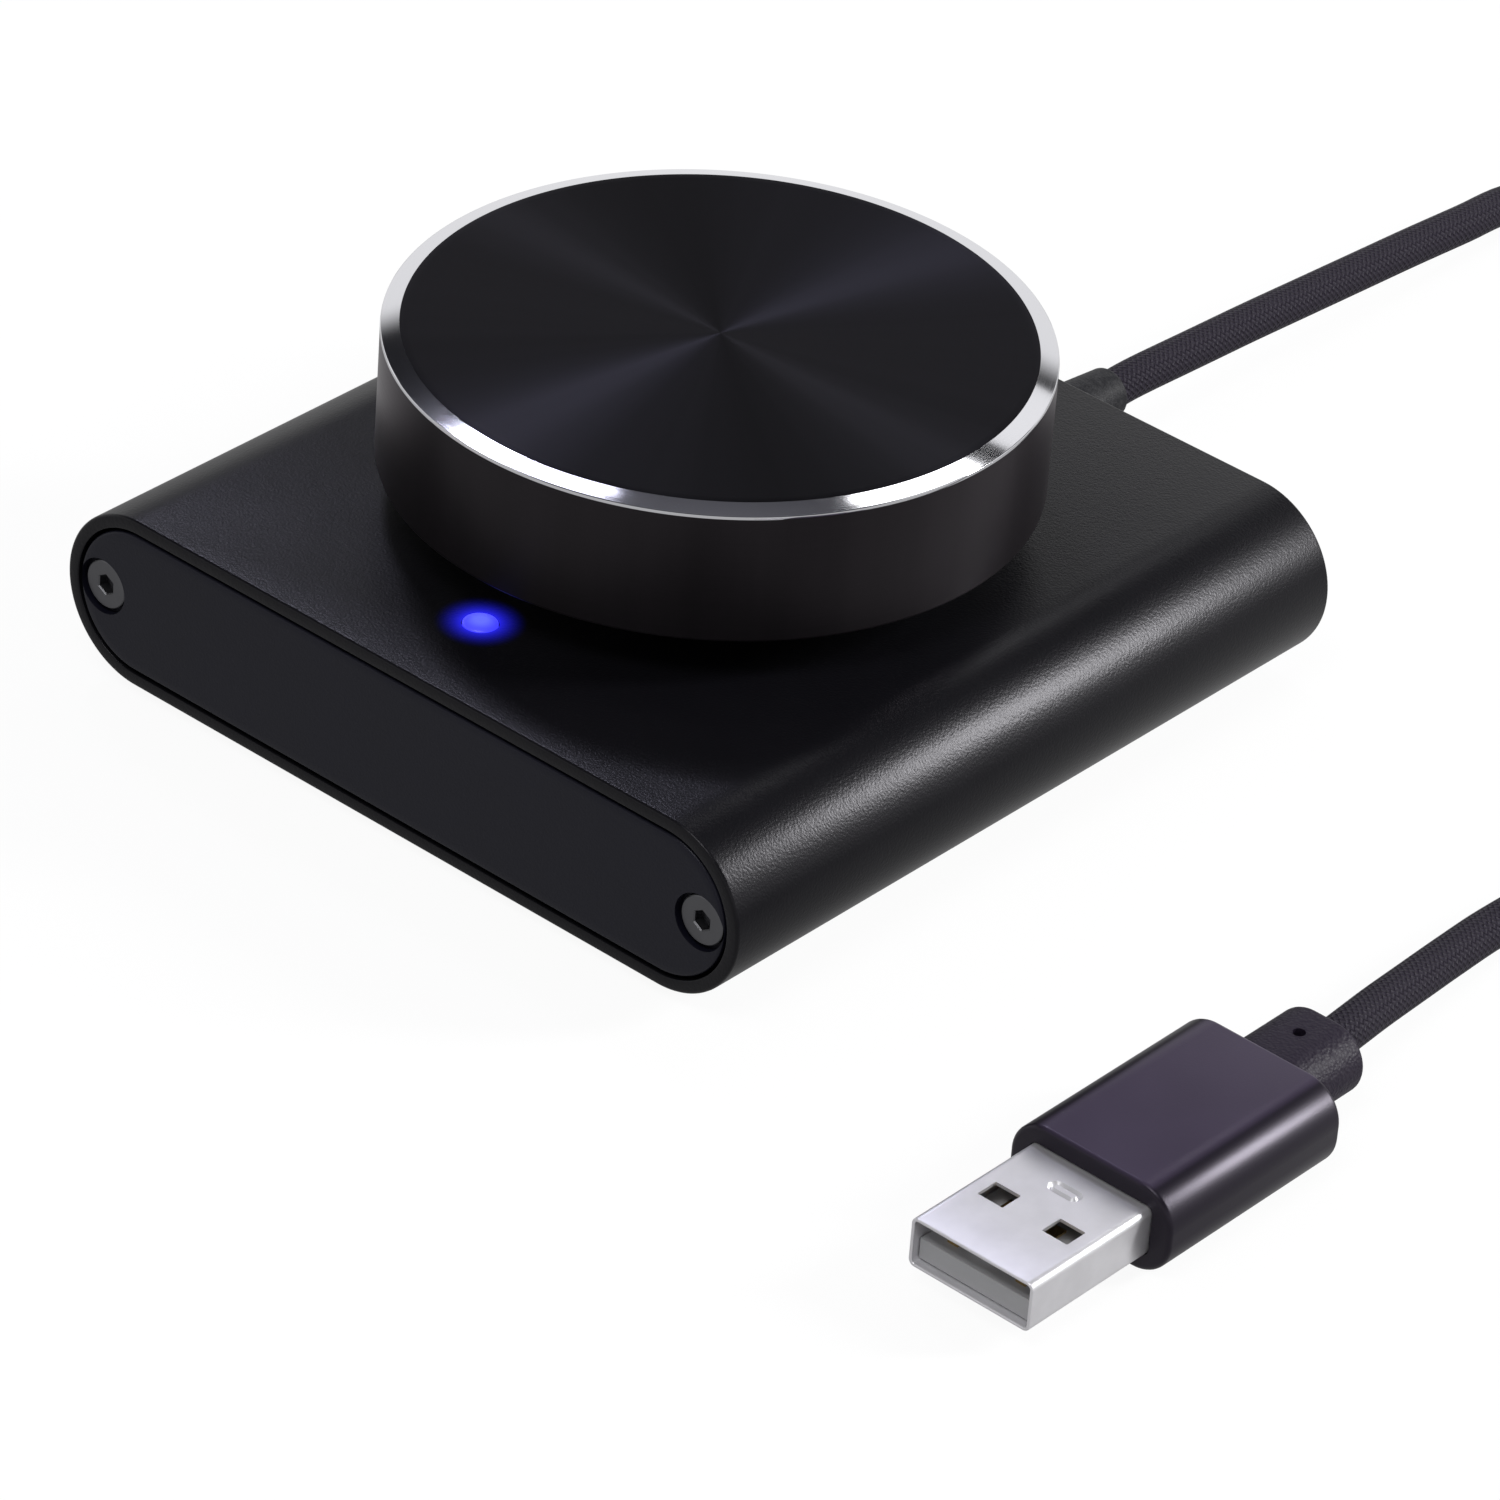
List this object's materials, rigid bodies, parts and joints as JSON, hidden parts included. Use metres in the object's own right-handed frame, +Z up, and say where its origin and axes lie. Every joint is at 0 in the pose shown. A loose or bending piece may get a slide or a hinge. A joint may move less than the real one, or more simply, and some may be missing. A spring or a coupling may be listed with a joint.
{
  "type": "usb volume control knob",
  "caption": "Flat extruded desk housing with a wide turned dial that spins without end and presses down, a lit dot in front of it, and a lead ending in a USB plug.",
  "frame": {"origin": "on the surface the feet stand on, under the middle of the housing and of the dial", "axes": "+Z up along the dial's axis, -Y towards the front plate with the lit dot, +Y towards the lead's exit"},
  "size_m": [0.1433, 0.2053, 0.0333],
  "materials": {
    "anodised_body": "bead-blasted, black anodised, satin",
    "turned_dial": "turned and black anodised, with a bright diamond-cut bevel",
    "anodised_grip": "black anodised, satin",
    "dark_steel": "dark nickel-plated screws",
    "bright_steel": "nickel-plated sheet and pins",
    "black_rubber": "matt moulded",
    "cord_sleeve": "soft matt cord jacket",
    "board": "green solder mask",
    "black_plastic": "moulded",
    "white_plastic": "moulded",
    "wire_plastic": "insulated hook-up wire",
    "contact_gold": "gold plated",
    "blue_light": "lit blue lens"
  },
  "bodies": {
    "base": {"housing_sleeve": "anodised_body", "front_plate": "anodised_body", "rear_plate": "anodised_body", "front_plate_screws": "dark_steel", "rear_plate_screws": "dark_steel", "foot_front_left": "black_rubber", "foot_front_right": "black_rubber", "foot_rear_left": "black_rubber", "foot_rear_right": "black_rubber", "circuit_board": "board", "controller_chip": "black_plastic", "clock_crystal": "bright_steel", "capacitors": "bright_steel", "resistors": "black_plastic", "board_connector": "white_plastic", "lead_wires": "wire_plastic", "encoder_case": "black_plastic", "encoder_bushing": "bright_steel", "encoder_pins": "bright_steel", "encoder_washer": "bright_steel", "encoder_nut": "bright_steel", "switch_dome": "bright_steel", "indicator_light": "blue_light", "light_leads": "bright_steel", "cord_boot": "black_rubber", "cord_inner_end": "black_rubber", "cord_device_run": "cord_sleeve", "cord_coil": "cord_sleeve", "cord_tie": "black_rubber", "cord_plug_run": "cord_sleeve", "plug_shell": "bright_steel", "plug_tongue": "white_plastic", "plug_contacts": "contact_gold", "plug_grip": "anodised_grip", "plug_tail": "black_rubber"},
    "rotor": {"encoder_rotor": "white_plastic"},
    "dial": {"encoder_shaft": "bright_steel", "dial": "turned_dial", "dial_grub_screw": "dark_steel"}
  },
  "joints": [
    {"name": "dial_turn", "type": "hinge", "parent": "base", "child": "rotor", "pos_m": [0, 0, 0.0135], "axis": [0, 0, 1], "continuous": true},
    {"name": "dial_press", "type": "slide", "parent": "rotor", "child": "dial", "axis": [0, 0, -1], "range_m": [0, 0.0005], "stiffness_N_per_m": 4000, "springref_m": -0.0005}
  ]
}
